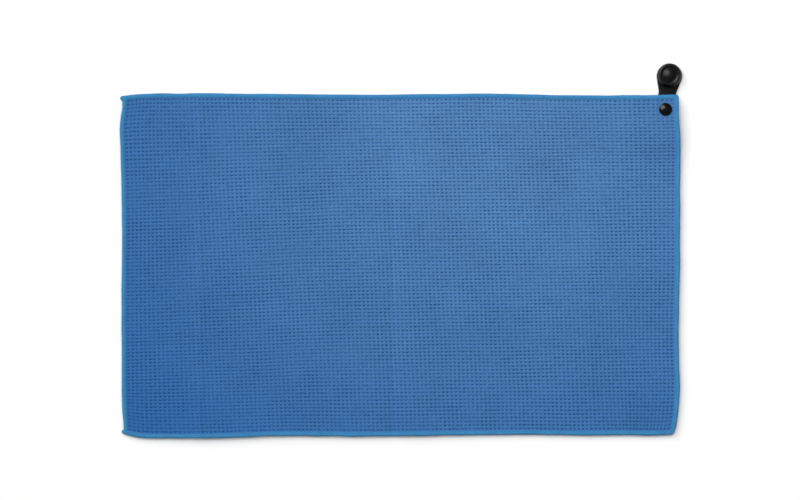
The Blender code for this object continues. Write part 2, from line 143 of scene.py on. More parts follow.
# The sheet thins to a rim under the edging: the heights of the rim's two faces, where the face and the back
# thin down to them, and how far the sheet stays within the CAD sheet's thickness.
RIM_LOW, RIM_HIGH = 0.85 * MM, 2.15 * MM
FACE_THINNING = 1.4 * MM
BACK_START, BACK_THINNING = EDGING_WIDTH - 0.2 * MM, 1.8 * MM
FACE_CLEARANCE = 0.10 * MM

# The overlocked edging: a band with a lip over each face of the cloth and a slot between them. A run stops
# CORNER_TUCK short of a corner, or passes it as a loose tail.
CORNER_TUCK = 0.5 * MM
THREAD_TAIL = 1.6 * MM
LIP = EDGING_WIDTH + 0.05 * MM
LIP_SINK = 0.28 * MM
BAND_SINK = 0.25 * MM
SLOT_INSET, SLOT_FLOOR = 0.65 * MM, 0.62 * MM
LIP_NOSE, LIP_DROOP = 0.1 * MM, 0.03 * MM

# Its strands, which cross the band, and the row of needle stitches near the lip. Bends and swells are each an
# amount and the size of its features.
THREAD_PITCH = 1.35 * MM
THREAD_STEPS = 6
THREAD_RELIEF = 0.30 * MM
THREAD_SLANT = 0.42
THREAD_RANGE = (0.75, 1.2)
BROAD_BENDS = (0.28 * MM, 7.0 * MM)
FINE_BENDS = (0.12 * MM, 2.2 * MM)
SWELLS = (0.06, 16.0 * MM)
NEEDLE_FROM_LIP, NEEDLE_WIDTH, NEEDLE_RISE = 0.9 * MM, 0.45 * MM, 0.16 * MM
TAPER_LENGTH, TAPER_LEAST = 1.6 * MM, 0.06
THREAD_LOWEST = 0.02 * MM

# How far the outline strays outwards from the plain rectangle: (place along the side, stray), in mm.
TOP_STRAY = [
    (-250, -1.8), (-240, -0.6), (-225, 0.4), (-205, 0.5), (-150, 0.5), (-95, -0.1), (-45, -0.5), (10, -0.4),
    (75, 0.4), (155, -0.9), (225, -1.0), (240, -0.8), (250, -0.5),
]
BOTTOM_STRAY = [
    (-250, -0.9), (-238, 1.8), (-210, 2.9), (-175, 2.7), (-107, 0.8), (-45, 1.3), (35, 0.4),
    (110, -0.2), (150, 0.3), (190, 0.0), (225, 0.3), (243, 0.0), (250, -0.6),
]
LEFT_STRAY = [
    (-153, -2.4), (-143, -2.0), (-130, -1.1), (-115, -0.9), (-75, -0.6), (-10, -0.5), (60, -0.8), (95, 0.2),
    (110, 0.8), (125, 1.2), (137, 0.0), (143, -0.9), (153, -0.9),
]
RIGHT_STRAY = [
    (-153, -4.6), (-148, -2.9), (-140, -1.3), (-130, -0.1), (-110, 1.0), (-85, 0.2), (-60, -0.1), (-15, 1.0),
    (60, 1.2), (115, 1.2), (135, 0.1), (153, 0.0),
]
STRAY_REACH = 60.0 * MM

# The weave runs a little askew inside the edges: columns lean by a slope, and rows drift as (place, drift) in
# mm. Both also wander, and the cloth waves, each by an amount and with features of a size.
COLUMN_LEAN = -0.048
ROW_DRIFT = [(-250, -7.0), (-150, -3.4), (-50, 0.0), (50, 1.0), (150, 1.7), (250, 2.4)]
DRIFT_REACH = 75.0 * MM
COLUMN_WANDER = (0.55 * MM, 38.0 * MM)
ROW_WANDER = (0.45 * MM, 45.0 * MM)
BROAD_WAVES = (0.55 * MM, 70.0 * MM)
FINE_WAVES = (0.14 * MM, 24.0 * MM)

# How far the right end and the bottom side curl up: (place along the side, height), in mm.
RIGHT_CURL = [(-153, 0.3), (-110, 0.9), (-40, 1.9), (20, 1.7), (80, 2.0), (153, 0.7)]
BOTTOM_CURL = [(-250, 0.6), (-200, 1.3), (-130, 1.1), (-60, 0.8), (60, 1.0), (150, 0.7), (250, 0.0)]
CURL_REACH = 16.0 * MM

# Creases left by folding, each from one point to another: x0, y0, x1, y1, height and reach, in mm. The one
# where the towel folds shows 2 mm beside its hinge.
MIDDLE_CREASE = CREASE_X / MM + 2
CREASES = [
    (-179, -160, -179, 160, 0.85, 5.0),
    (MIDDLE_CREASE, -160, MIDDLE_CREASE, 160, -1.0, 5.0),
    (170, -160, 170, 20, 0.35, 6.0),
    (-89, 20, -89, 160, 0.3, 6.0),
    (-92, 30, -80, -4, -0.5, 6.0),
    (-80, -4, -50, -32, -0.5, 7.0),
    (-50, -59, 36, -59, -0.4, 5.0),
    (-246, -72, -179, -72, -0.4, 5.0),
]

# The camera looks straight down from far off, and VIEW_WIDTH is what it sees across.
VIEW_CENTRE = (0.0002, 0.0130)
VIEW_WIDTH = 0.71696
LENS_MM = 250.0
SENSOR_MM = 36.0

# The light: a broad low key from the upper left, a soft box high up, and two more that show in no reflection,
# a fill from the upper right and the room above.
KEY_FROM, KEY_SPREAD, KEY_STRENGTH = (-0.70, 0.60, 0.52), math.radians(46.0), 2.15
HIGH_PLACE, HIGH_SIZE, HIGH_POWER = (-0.34, 0.68, 2.25), 1.0, 18.0
FILL_PLACE, FILL_SIZE, FILL_POWER = (0.50, 0.75, 0.95), 0.6, 2.8
ROOM_PLACE, ROOM_SIZE, ROOM_POWER = (0.0, 0.0, 2.4), 3.0, 14.5
WORLD_STRENGTH = 0.23
FLOOR_SIZE, FLOOR_DROP = 12.0, 0.2 * MM
FLOOR_WHITE = 0.945

# The painted sheen: the scale and the shift that put the place where the cloth looks palest at 0, from metres
# on the flat cut.
SHEEN_SCALE, SHEEN_SHIFT = (1.0, 1.1, 1.0), (-0.33, -0.30, 0.0)

# The lattice of random numbers behind the smooth noise: its size, and where the middle of the plane falls.
LATTICE = 97
LATTICE_MIDDLE = 40.0


def smoothstep(t):
    """0 below 0, 1 above 1, with a smooth rise between."""
    t = np.clip(t, 0.0, 1.0)
    return t * t * (3.0 - 2.0 * t)


def noise(x, y, size, seed):
    """Smooth noise from -1 to 1 over a plane, with features about size across."""
    lattice = np.random.default_rng(seed).uniform(-1.0, 1.0, (LATTICE, LATTICE))
    u, v = x / size + LATTICE_MIDDLE, y / size + LATTICE_MIDDLE
    i, j = np.floor(u).astype(int), np.floor(v).astype(int)
    f, g = smoothstep(u - i), smoothstep(v - j)
    i0, j0, i1, j1 = i % LATTICE, j % LATTICE, (i + 1) % LATTICE, (j + 1) % LATTICE
    low = lattice[i0, j0] * (1 - f) + lattice[i1, j0] * f
    high = lattice[i0, j1] * (1 - f) + lattice[i1, j1] * f
    return low * (1 - g) + high * g


def ripple(kind, x, y, seed):
    """Smooth noise of a kind, which is an amount and the size of its features."""
    amount, size = kind
    return amount * noise(x, y, size, seed)


def curve(points, place):
    """A smooth curve through (place, value) points that are in mm, at places in metres."""
    at = np.array([p[0] for p in points]) * MM
    value = np.array([p[1] for p in points]) * MM
    slope = np.gradient(value, at)
    k = np.clip(np.searchsorted(at, place) - 1, 0, len(at) - 2)
    width = at[k + 1] - at[k]
    t = np.clip((place - at[k]) / width, 0.0, 1.0)
    return (
        (2 * t**3 - 3 * t**2 + 1) * value[k]
        + (t**3 - 2 * t**2 + t) * width * slope[k]
        + (3 * t**2 - 2 * t**3) * value[k + 1]
        + (t**3 - t**2) * width * slope[k + 1]
    )


def lie(x, y):
    """Where a point of the flat cut lies in plan: the sides stray, and the weave wanders a little."""
    near_x = smoothstep((np.abs(x) - (HALF_LENGTH - STRAY_REACH)) / STRAY_REACH)
    near_y = smoothstep((np.abs(y) - (HALF_WIDTH - STRAY_REACH)) / STRAY_REACH)
    end = np.where(x > 0, curve(RIGHT_STRAY, y), -curve(LEFT_STRAY, y))
    side = np.where(y > 0, curve(TOP_STRAY, x), -curve(BOTTOM_STRAY, x))
    free_x = 1.0 - smoothstep((np.abs(x) - (HALF_LENGTH - DRIFT_REACH)) / DRIFT_REACH)
    free_y = 1.0 - smoothstep((np.abs(y) - (HALF_WIDTH - DRIFT_REACH)) / DRIFT_REACH)
    askew_x = COLUMN_LEAN * y + ripple(COLUMN_WANDER, x, y, SEED)
    askew_y = curve(ROW_DRIFT, x) + ripple(ROW_WANDER, x, y, SEED + 1)
    return x + end * near_x + askew_x * free_x, y + side * near_y + askew_y * free_y


def crease_height(x, y):
    """The height that the creases add."""
    total = np.zeros_like(x)
    for x0, y0, x1, y1, height, width in CREASES:
        start, along = np.array((x0, y0)) * MM, np.array((x1 - x0, y1 - y0)) * MM
        t = ((x - start[0]) * along[0] + (y - start[1]) * along[1]) / (along @ along)
        held = np.clip(t, 0.0, 1.0)
        away = np.hypot(x - start[0] - held * along[0], y - start[1] - held * along[1])
        total += height * MM * np.exp(-away / (width * MM))
    return total


def rise(x, y):
    """How high the underside lies: over the press stud at the corner, and in soft waves elsewhere."""
    held_x = np.minimum(x, HALF_LENGTH - LIFT_CLAMP)
    held_y = np.minimum(y, HALF_WIDTH - LIFT_CLAMP)
    away = np.hypot(held_x - STUD.x, held_y - STUD.y)
    up = 1.0 - smoothstep((away - LIFT_FLAT_RADIUS) / (LIFT_REACH - LIFT_FLAT_RADIUS))
    broad = BROAD_WAVES[0] + ripple(BROAD_WAVES, x, y, SEED + 2)
    fine = FINE_WAVES[0] + ripple(FINE_WAVES, x, y, SEED + 3)
    curl = curve(RIGHT_CURL, y) * np.exp(-np.maximum(HALF_LENGTH - x, 0.0) / CURL_REACH)
    curl = curl + curve(BOTTOM_CURL, x) * np.exp(-np.maximum(HALF_WIDTH + y, 0.0) / CURL_REACH)
    flat = np.maximum(broad + fine + crease_height(x, y) + curl, 0.0)
    return CORNER_LIFT * up + flat * (1.0 - up)


def pressed(x, y):
    """1 where the press stud pinches the cloth, 0 away from it."""
    away = np.hypot(x - STUD.x, y - STUD.y)
    return 1.0 - smoothstep((away - PINCH_RADIUS) / PINCH_REACH)


def mesh_object(name, points, faces, values=None, uv=None):
    """A smooth mesh from arrays. values are named numbers, one a point; uv is one pair a point."""
    mesh = bpy.data.meshes.new(name)
    sides = faces.shape[1]
    mesh.vertices.add(len(points))
    mesh.vertices.foreach_set("co", np.ascontiguousarray(points, np.float32).ravel())
    mesh.loops.add(faces.size)
    mesh.loops.foreach_set("vertex_index", faces.astype(np.int32).ravel())
    mesh.polygons.add(len(faces))
    mesh.polygons.foreach_set("loop_start", np.arange(len(faces), dtype=np.int32) * sides)
    mesh.polygons.foreach_set("use_smooth", np.full(len(faces), True))
    mesh.update(calc_edges=True)
    mesh.validate()
    for key, value in (values or {}).items():
        numbers = mesh.attributes.new(key, "FLOAT", "POINT")
        numbers.data.foreach_set("value", value.astype(np.float32).ravel())
    if uv is not None:
        layer = mesh.uv_layers.new(name="Weave")
        layer.data.foreach_set("uv", uv[faces.ravel()].astype(np.float32).ravel())
    piece = bpy.data.objects.new(name, mesh)
    bpy.context.scene.collection.objects.link(piece)
    return piece


def waffle(u, v, x, y, seed):
    """Height below the ridges, and how deep in a pit (0 to 1), at cell coordinates u, v."""
    random = np.random.default_rng(seed)
    shape = (CELLS_X + 3, CELLS_Y + 3)
    cell = np.floor(u).astype(int) + 1, np.floor(v).astype(int) + 1
    wall = np.round(u).astype(int) + 1, np.floor(v).astype(int) + 1
    own = random.uniform(*PIT_RANGE, shape)[cell]
    worn = random.uniform(0.0, 1.0, shape)[wall] ** 3
    across = 1.0 - smoothstep((np.abs(u % 1.0 - 0.5) - PIT_FLOOR_X) / PIT_WALL)
    along = 1.0 - smoothstep((np.abs(v % 1.0 - 0.5) - PIT_FLOOR_Y) / PIT_WALL)
    patch = 0.90 + PATCH_RANGE * noise(x, y, PATCH_SIZE, seed + 1)
    pit = patch * along * (own * across + WORN_WALL * worn * (1.0 - across))
    knot = (1.0 - across) * (1.0 - along)
    return KNOT_RISE * knot - PIT_DEPTH * pit, pit


def cloth_faces(kept):
    """Faces of a closed sheet: the cells kept on top, the same below, and a wall wherever a cell is open."""
    columns, rows = kept.shape[0] + 1, kept.shape[1] + 1
    number = np.arange(columns * rows).reshape(columns, rows)
    a, b, c, d = number[:-1, :-1], number[1:, :-1], number[1:, 1:], number[:-1, 1:]
    faces = [np.stack([a, b, c, d], -1)[kept]]
    faces.append(np.stack([d, c, b, a], -1)[kept] + columns * rows)
    padded = np.pad(kept, 1)
    for shift, first, second in (((0, -1), a, b), ((1, 0), b, c), ((0, 1), c, d), ((-1, 0), d, a)):
        beyond = padded[1 + shift[0] : columns + shift[0], 1 + shift[1] : rows + shift[1]]
        open_side = kept & ~beyond
        start, end = first[open_side], second[open_side]
        faces.append(np.stack([end, start, start + columns * rows, end + columns * rows], -1))
    return np.concatenate(faces)


def make_cloth():
    """The waffle cloth: one closed sheet with pits on both faces, and a hole for the rivet."""
    length, width = HALF_LENGTH - RIM_INSET, HALF_WIDTH - RIM_INSET
    steps_x = np.append(np.add.outer(np.arange(CELLS_X), CELL_STEPS_X), CELLS_X)
    steps_y = np.append(np.add.outer(np.arange(CELLS_Y), CELL_STEPS_Y), CELLS_Y)
    u, v = np.meshgrid(steps_x, steps_y, indexing="ij")
    flat_x = length * (2 * u / CELLS_X - 1)
    flat_y = width * (2 * v / CELLS_Y - 1)
    edge = np.minimum(HALF_LENGTH - np.abs(flat_x), HALF_WIDTH - np.abs(flat_y))
    full = smoothstep((edge - (EDGING_WIDTH - FACE_THINNING)) / FACE_THINNING)
    full_below = smoothstep((edge - BACK_START) / BACK_THINNING)
    x, y = lie(flat_x, flat_y)
    low = rise(x, y)
    pinch = PINCH_DEPTH * pressed(x, y)
    relief = 1.0 - PINCH_FLATTENING * pressed(x, y)

    upper, upper_pit = waffle(u, v, x, y, SEED + 10)
    lower, lower_pit = waffle(u + 0.5, v + 0.5, x, y, SEED + 20)
    top_level = RIM_HIGH + (CLOTH_TOP - FACE_CLEARANCE - RIM_HIGH) * full
    bottom_level = RIM_LOW + (FACE_CLEARANCE + KNOT_RISE - RIM_LOW) * full_below
    top = low + top_level + upper * relief * full - pinch
    bottom = low + bottom_level - lower * relief * full_below + pinch

    away = np.hypot(x - STUD.x, y - STUD.y)
    at_hole = (away > 0) & (away < RIVET_HOLE)
    scale = np.where(at_hole, RIVET_HOLE / np.maximum(away, 1e-9), 1.0)
    x, y = STUD.x + (x - STUD.x) * scale, STUD.y + (y - STUD.y) * scale
    cell_away = (away[:-1, :-1] + away[1:, :-1] + away[1:, 1:] + away[:-1, 1:]) / 4
    faces = cloth_faces(cell_away > RIVET_HOLE)

    points = np.concatenate(
        [np.stack([x, y, top], -1).reshape(-1, 3), np.stack([x, y, bottom], -1).reshape(-1, 3)]
    )
    pits = np.concatenate([(upper_pit * relief).ravel(), (lower_pit * relief).ravel()])
    uv = np.stack([flat_x + HALF_LENGTH, flat_y + HALF_WIDTH], -1).reshape(-1, 2)
    used = np.unique(faces)
    index = np.zeros(len(points), int)
    index[used] = np.arange(len(used))
    both = np.concatenate([uv, uv])
    return mesh_object("waffle_cloth", points[used], index[faces], {"pit": pits[used]}, both[used])


def edging_section():
    """The edging's section, from the lower lip round the outer edge to the upper lip, and back by the slot.

    Each point is (inset, height, outward inset, outward height, thread share).
    """
    radius = EDGING_TOP / 2
    flat_end = LIP - BAND_SINK
    outer = []
    for i in range(5):
        inset = flat_end - (flat_end - radius) * i / 5
        outer.append((inset, BAND_SINK + LIP_SINK * (1 - i / 5) ** 2, 0.0, -1.0, 1.0))
    for i in range(9):
        turn = -math.pi / 2 + math.pi * i / 8
        out, up = math.cos(turn), math.sin(turn)
        outer.append((radius - (radius - BAND_SINK) * out, radius + (radius - BAND_SINK) * up, -out, up, 1.0))
    for i in range(1, 6):
        inset = radius + (flat_end - radius) * i / 5
        outer.append((inset, EDGING_TOP - BAND_SINK - LIP_SINK * (i / 5) ** 2, 0.0, 1.0, 1.0))
    slot_low, slot_high = SLOT_FLOOR, EDGING_TOP - SLOT_FLOOR
    slot = [
        (LIP + LIP_NOSE, slot_high + LIP_DROOP),
        (LIP, slot_high),
        (SLOT_INSET, slot_high),
        (SLOT_INSET, slot_low),
        (LIP, slot_low),
        (LIP + LIP_NOSE, slot_low - LIP_DROOP),
    ]
    return np.array(outer + [(inset, height, 0.0, 0.0, 0.0) for inset, height in slot])


def make_edging(name, start, end, place, seed):
    """One run of overlock thread. place(station, inset) gives the flat point.

    The points carry four numbers for the thread's colours and painted shade: how deep between two strands, on
    a needle stitch, towards the outer edge, and towards the cloth.
    """
    section = edging_section()
    count = int(round((end - start) / THREAD_PITCH)) * THREAD_STEPS
    station = np.linspace(start, end, count + 1)
    s, k = np.meshgrid(station, np.arange(len(section)), indexing="ij")
    inset, height, out_inset, out_height, share = (section[:, n][k] for n in range(5))
    upper = height > EDGING_TOP / 2
    straight = np.zeros_like(s)
    bend = ripple(BROAD_BENDS, s, straight, seed) + ripple(FINE_BENDS, s, inset, seed + 1)
    slant = np.where(upper, THREAD_SLANT, -THREAD_SLANT) * (inset / LIP - 0.5)
    phase = (s + bend) / THREAD_PITCH + slant
    strand = np.abs(np.cos(np.pi * phase)) ** 0.7
    own = np.random.default_rng(seed + 2).uniform(*THREAD_RANGE, count + 8)
    strand = strand * own[np.clip(np.floor(phase - start / THREAD_PITCH + 2).astype(int), 0, count + 7)]
    needle = np.exp(-(((LIP - NEEDLE_FROM_LIP - inset) / NEEDLE_WIDTH) ** 2)) * upper
    dash = smoothstep(1.6 * np.abs(np.cos(np.pi * s / (2 * THREAD_PITCH))))
    swell = 1.0 + ripple(SWELLS, s, straight, seed + 3)
    proud = share * (THREAD_RELIEF * (strand - 0.55) + NEEDLE_RISE * needle * (dash - 0.5))
    # groove and turn_down set the thread's painted shade, between the strands and round the outer edge.
    groove = 1.0 - np.clip(strand, 0, 1) * share
    turn_down = 1.0 - smoothstep((inset - BAND_SINK) / MM)
    turn_in = smoothstep((inset - 0.40 * LIP) / (0.45 * LIP)) * share
    inset = EDGING_WIDTH + (inset + out_inset * proud - EDGING_WIDTH) * swell
    height = height + out_height * proud
    ends = np.minimum(s - start, end - s) / TAPER_LENGTH
    taper = np.sqrt(np.clip(ends, TAPER_LEAST, 1.0))
    inset = EDGING_WIDTH / 2 + (inset - EDGING_WIDTH / 2) * taper
    height = EDGING_TOP / 2 + (height - EDGING_TOP / 2) * taper
    x, y = lie(*place(s, inset))
    inner_x, inner_y = lie(*place(s, np.full_like(s, EDGING_WIDTH)))
    z = np.maximum(height, THREAD_LOWEST) + rise(inner_x, inner_y)
    points = np.stack([x, y, z], -1).reshape(-1, 3)
    sides = len(section)
    number = np.arange((count + 1) * sides).reshape(count + 1, sides)
    after = np.roll(number, -1, axis=1)
    faces = np.stack([number[:-1], after[:-1], after[1:], number[1:]], -1).reshape(-1, 4)
    uv = np.stack([s - start, inset], -1).reshape(-1, 2)
    values = {"pit": groove, "needle": needle * dash * share, "outer": turn_down, "inner": turn_in}
    piece = mesh_object(name, points, faces, values, uv)
    close_ends(piece, number[0], number[-1])
    return piece


def close_ends(piece, first, last):
    """Caps a tube's two ends and turns its faces outwards."""
    bm = bmesh.new()
    bm.from_mesh(piece.data)
    bm.verts.ensure_lookup_table()
    for ring in (first, last):
        bm.faces.new([bm.verts[int(n)] for n in ring])
    bmesh.ops.recalc_face_normals(bm, faces=bm.faces)
    bm.to_mesh(piece.data)
    bm.free()


def side_place(sign):
    """Flat points of the edging along the side at +Y or -Y."""
    return lambda s, inset: (s, sign * (HALF_WIDTH - inset))


def end_place(sign):
    """Flat points of the edging across the end at +X or -X."""
    return lambda s, inset: (sign * (HALF_LENGTH - inset), s)


# --- the press stud and the tab -----------------------------------------------


def rounded(profile, radius, closed=False):
    """A profile with its corners rounded off. A point on the axis stays as it is."""
    result = []
    for i, point in enumerate(profile):
        if point[0] == 0.0 or (not closed and i in (0, len(profile) - 1)):
            result.append(point)
            continue
        corner = Vector(point)
        before = Vector(profile[i - 1]) - corner
        after = Vector(profile[(i + 1) % len(profile)]) - corner
        start = corner + before.normalized() * min(radius, 0.45 * before.length)
        end = corner + after.normalized() * min(radius, 0.45 * after.length)
        for k in range(5):
            t = k / 4
            result.append(tuple(start * (1 - t) ** 2 + corner * 2 * t * (1 - t) + end * t**2))
    return result


def weld(piece):
    """Joins points that meet, and turns the faces outwards."""
    bm = bmesh.new()
    bm.from_mesh(piece.data)
    bmesh.ops.remove_doubles(bm, verts=bm.verts, dist=0.002 * MM)
    bmesh.ops.dissolve_degenerate(bm, edges=bm.edges, dist=0.001 * MM)
    bmesh.ops.recalc_face_normals(bm, faces=bm.faces)
    bm.to_mesh(piece.data)
    bm.free()


def turned(name, profile, centre, closed=False):
    """A profile of (radius, height) turned about the upright axis through centre."""
    radius, height = np.array(profile).T
    turn = np.arange(ROUND_SIDES) * 2 * np.pi / ROUND_SIDES
    x = centre.x + np.outer(np.cos(turn), radius)
    y = centre.y + np.outer(np.sin(turn), radius)
    points = np.stack([x, y, np.broadcast_to(height, x.shape)], -1).reshape(-1, 3)
    number = np.arange(x.size).reshape(x.shape)
    beside = np.roll(number, -1, axis=0)
    faces = np.stack([number, beside, np.roll(beside, -1, axis=1), np.roll(number, -1, axis=1)], -1)
    if not closed:
        faces = faces[:, :-1]
    piece = mesh_object(name, points, faces.reshape(-1, 4))
    weld(piece)
    piece.modifiers.new("even_shading", "WEIGHTED_NORMAL")
    return piece


def make_cap():
    """The domed cap on the towel's face, with the rivet through the cloth."""
    top, low = CAP_HIGH.z, CAP_LOW.z
    seat = top - CAP_THICKNESS
    dome = []
    for i in range(25):
        angle = math.pi / 2 * i / 24
        dome.append((CAP_RADIUS * math.sin(angle), top - CAP_RISE * (1.0 - math.cos(angle))))
    rivet = [
        (CAP_RADIUS, seat),
        (CAP_RADIUS - 0.7 * MM, seat),
        (CAP_RADIUS - 0.9 * MM, seat + 0.12 * MM),
        (RIVET_RADIUS, seat + 0.12 * MM),
        (RIVET_RADIUS, low + FLARE_THICKNESS),
        (FLARE_RADIUS, low + FLARE_THICKNESS),
        (FLARE_RADIUS, low),
        (0.0, low),
    ]
    return turned("stud_cap", dome[:-1] + rounded(dome[-1:] + rivet, 0.12 * MM), STUD)


def make_socket():
    """The female half: a cup with a rolled bead round its mouth."""
    low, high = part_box("snap_socket")[0].z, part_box("snap_socket")[1].z
    inner_top = high - SOCKET_ROOF
    profile = [
        (RIVET_RADIUS + GAP, high),
        (SOCKET_RADIUS, high),
        (SOCKET_RADIUS, low + 0.5 * MM),
        (SOCKET_RADIUS - 0.5 * MM, low),
        (SOCKET_BORE + 0.7 * MM, low),
        (SOCKET_BORE + 0.4 * MM, low + 0.25 * MM),
        (SOCKET_MOUTH + 0.4 * MM, low + 0.10 * MM),
        (SOCKET_MOUTH, low + 0.05 * MM),
        (SOCKET_MOUTH, low + SOCKET_LIP + 0.1 * MM),
        (SOCKET_BORE, low + SOCKET_LIP + 0.15 * MM),
        (SOCKET_BORE, inner_top),
        (RIVET_RADIUS + GAP, inner_top),
    ]
    return turned("stud_socket", rounded(profile, 0.18 * MM, closed=True), STUD, closed=True)


def make_spring():
    """The open ring of round wire in the socket. Its opening faces across the tab."""
    box_low, box_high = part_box("socket_spring")
    ring = SOCKET_MOUTH + SPRING_WIRE
    height = (box_low.z + box_high.z) / 2
    turn = np.linspace(SPRING_OPENING / 2, 2 * np.pi - SPRING_OPENING / 2, 73)[:, None]
    turn = turn + math.atan2(TAB_ACROSS.y, TAB_ACROSS.x)
    round_wire = np.arange(WIRE_SIDES) * 2 * np.pi / WIRE_SIDES
    reach = ring + SPRING_WIRE * np.cos(round_wire)[None, :]
    x = STUD.x + reach * np.cos(turn)
    y = STUD.y + reach * np.sin(turn)
    z = height + SPRING_WIRE * np.sin(round_wire)[None, :] + 0 * turn
    number = np.arange(x.size).reshape(x.shape)
    beside = np.roll(number, -1, axis=1)
    faces = np.stack([number[:-1], beside[:-1], beside[1:], number[1:]], -1).reshape(-1, 4)
    piece = mesh_object("stud_spring", np.stack([x, y, z], -1).reshape(-1, 3), faces)
    close_ends(piece, number[0], number[-1])
    return piece


def make_stud():
    """The male half: a flange on the strap, and a bulb that snaps into the socket."""
    low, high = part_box("snap_stud")[0].z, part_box("snap_stud")[1].z
    flange = low + FLANGE_THICKNESS
    bore = POST_SHANK + GAP
    roof = high - 2 * GAP
    profile = [
        (0.0, high - 0.1 * MM),
        (0.9 * MM, high - 0.1 * MM),
        (1.1 * MM, high),
        (BULB_RADIUS - 0.2 * MM, high),
        (BULB_RADIUS, high - 0.3 * MM),
        (BULB_RADIUS, high - 0.7 * MM),
        (BULB_NECK, high - 1.0 * MM),
        (BULB_NECK, flange),
        (FLANGE_RADIUS - 1.5 * MM, flange),
        (FLANGE_RADIUS - 1.2 * MM, flange - 0.15 * MM),
        (FLANGE_RADIUS - 0.7 * MM, flange - 0.15 * MM),
        (FLANGE_RADIUS - 0.5 * MM, flange),
        (FLANGE_RADIUS, flange),
        (FLANGE_RADIUS, low),
        (bore, low),
        (bore, roof),
        (0.0, roof),
    ]
    return turned("stud_male", rounded(profile, 0.16 * MM), STUD)


def make_post():
    """The post: a low domed head in the strap's underside, and a shank up into the stud."""
    low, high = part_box("snap_post")[0].z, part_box("snap_post")[1].z
    profile = [
        (0.0, high),
        (POST_SHANK, high),
        (POST_SHANK, low + POST_HEAD_THICKNESS),
        (POST_HEAD_RADIUS, low + POST_HEAD_THICKNESS),
        (POST_HEAD_RADIUS, low + 0.2 * MM),
        (POST_HEAD_RADIUS - 0.5 * MM, low),
        (1.4 * MM, low),
        (1.1 * MM, low + 0.2 * MM),
        (0.0, low + 0.25 * MM),
    ]
    return turned("stud_post", rounded(profile, 0.15 * MM), STUD)


def make_magnet():
    """The disc magnet."""
    radius = (MAGNET_HIGH.x - MAGNET_LOW.x) / 2
    profile = [(0.0, MAGNET_HIGH.z), (radius, MAGNET_HIGH.z), (radius, MAGNET_LOW.z), (0.0, MAGNET_LOW.z)]
    return turned("magnet_disc", rounded(profile, 0.3 * MM), POD)


def make_magnet_cap():
    """The silicone disc that closes the pocket, with a shallow ring moulded in its face."""
    low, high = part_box("magnet_cap")
    radius = (high.x - low.x) / 2
    profile = [
        (0.0, high.z),
        (radius, high.z),
        (radius, low.z),
        (radius - 1.2 * MM, low.z),
        (radius - 1.4 * MM, low.z + 0.25 * MM),
        (radius - 1.8 * MM, low.z + 0.25 * MM),
        (radius - 2.0 * MM, low.z),
        (0.0, low.z),
    ]
    return turned("pocket_cap", rounded(profile, 0.18 * MM), POD)


def cut(piece, cutters):
    """Cuts closed shapes out of a piece for good."""
    for cutter in cutters:
        modifier = piece.modifiers.new("cut", "BOOLEAN")
        modifier.operation = "DIFFERENCE"
        modifier.object = cutter
    bpy.context.view_layer.update()
    result = bpy.data.meshes.new_from_object(piece.evaluated_get(bpy.context.evaluated_depsgraph_get()))
    piece.modifiers.clear()
    piece.data = result
    for cutter in cutters:
        bpy.data.objects.remove(cutter)


def tab_plan():
    """The tab's plan as grids: s along it from the stud, t across it, and the distance inside its outline.

    The strap has a round end about the stud. From the neck on, its sides widen by a taper until they touch
    the pod's circle.
    """
    start = NECK - POD_REACH
    touch = math.atan2(start, STRAP_HALF) + math.acos(POD_RADIUS / math.hypot(STRAP_HALF, start))
    touch_s = POD_REACH + POD_RADIUS * math.sin(touch)
    taper = (POD_RADIUS * math.cos(touch) - STRAP_HALF) / (touch_s - NECK)
    round_end = -STRAP_HALF * np.cos(np.linspace(0, np.pi / 2, TAB_STEPS_ROUND))
    straight = np.linspace(0.0, touch_s, TAB_STEPS_STRAIGHT)[1:]
    pod_end = POD_REACH + POD_RADIUS * np.sin(np.linspace(touch, np.pi / 2, TAB_STEPS_POD)[1:])
    station = np.concatenate([round_end, straight, pod_end])
    half = np.full_like(station, STRAP_HALF)
    half += taper * np.clip(station - NECK, 0.0, None)
    behind, ahead = station < 0, station > touch_s
    half[behind] = np.sqrt(np.clip(STRAP_HALF**2 - station[behind] ** 2, 0.0, None))
    half[ahead] = np.sqrt(np.clip(POD_RADIUS**2 - (station[ahead] - POD_REACH) ** 2, 0.0, None))

    across = np.sin(np.pi / 2 * np.linspace(-1.0, 1.0, TAB_STEPS_ACROSS))
    s = np.broadcast_to(station[:, None], (len(station), len(across)))
    t = half[:, None] * across
    from_side = half[:, None] - np.abs(t)
    inside = np.where(s > NECK, from_side / math.hypot(1.0, taper), from_side)
    inside = np.where(s < 0, STRAP_HALF - np.hypot(t, s), inside)
    inside = np.where(s > touch_s, POD_RADIUS - np.hypot(t, s - POD_REACH), inside)
    return s, t, inside


def fillet(inside, radius):
    """How far a rounded edge falls away, at a distance inside the outline."""
    left = 1.0 - np.clip(inside / radius, 0.0, 1.0)
    return radius * (1.0 - np.sqrt(1.0 - left**2))


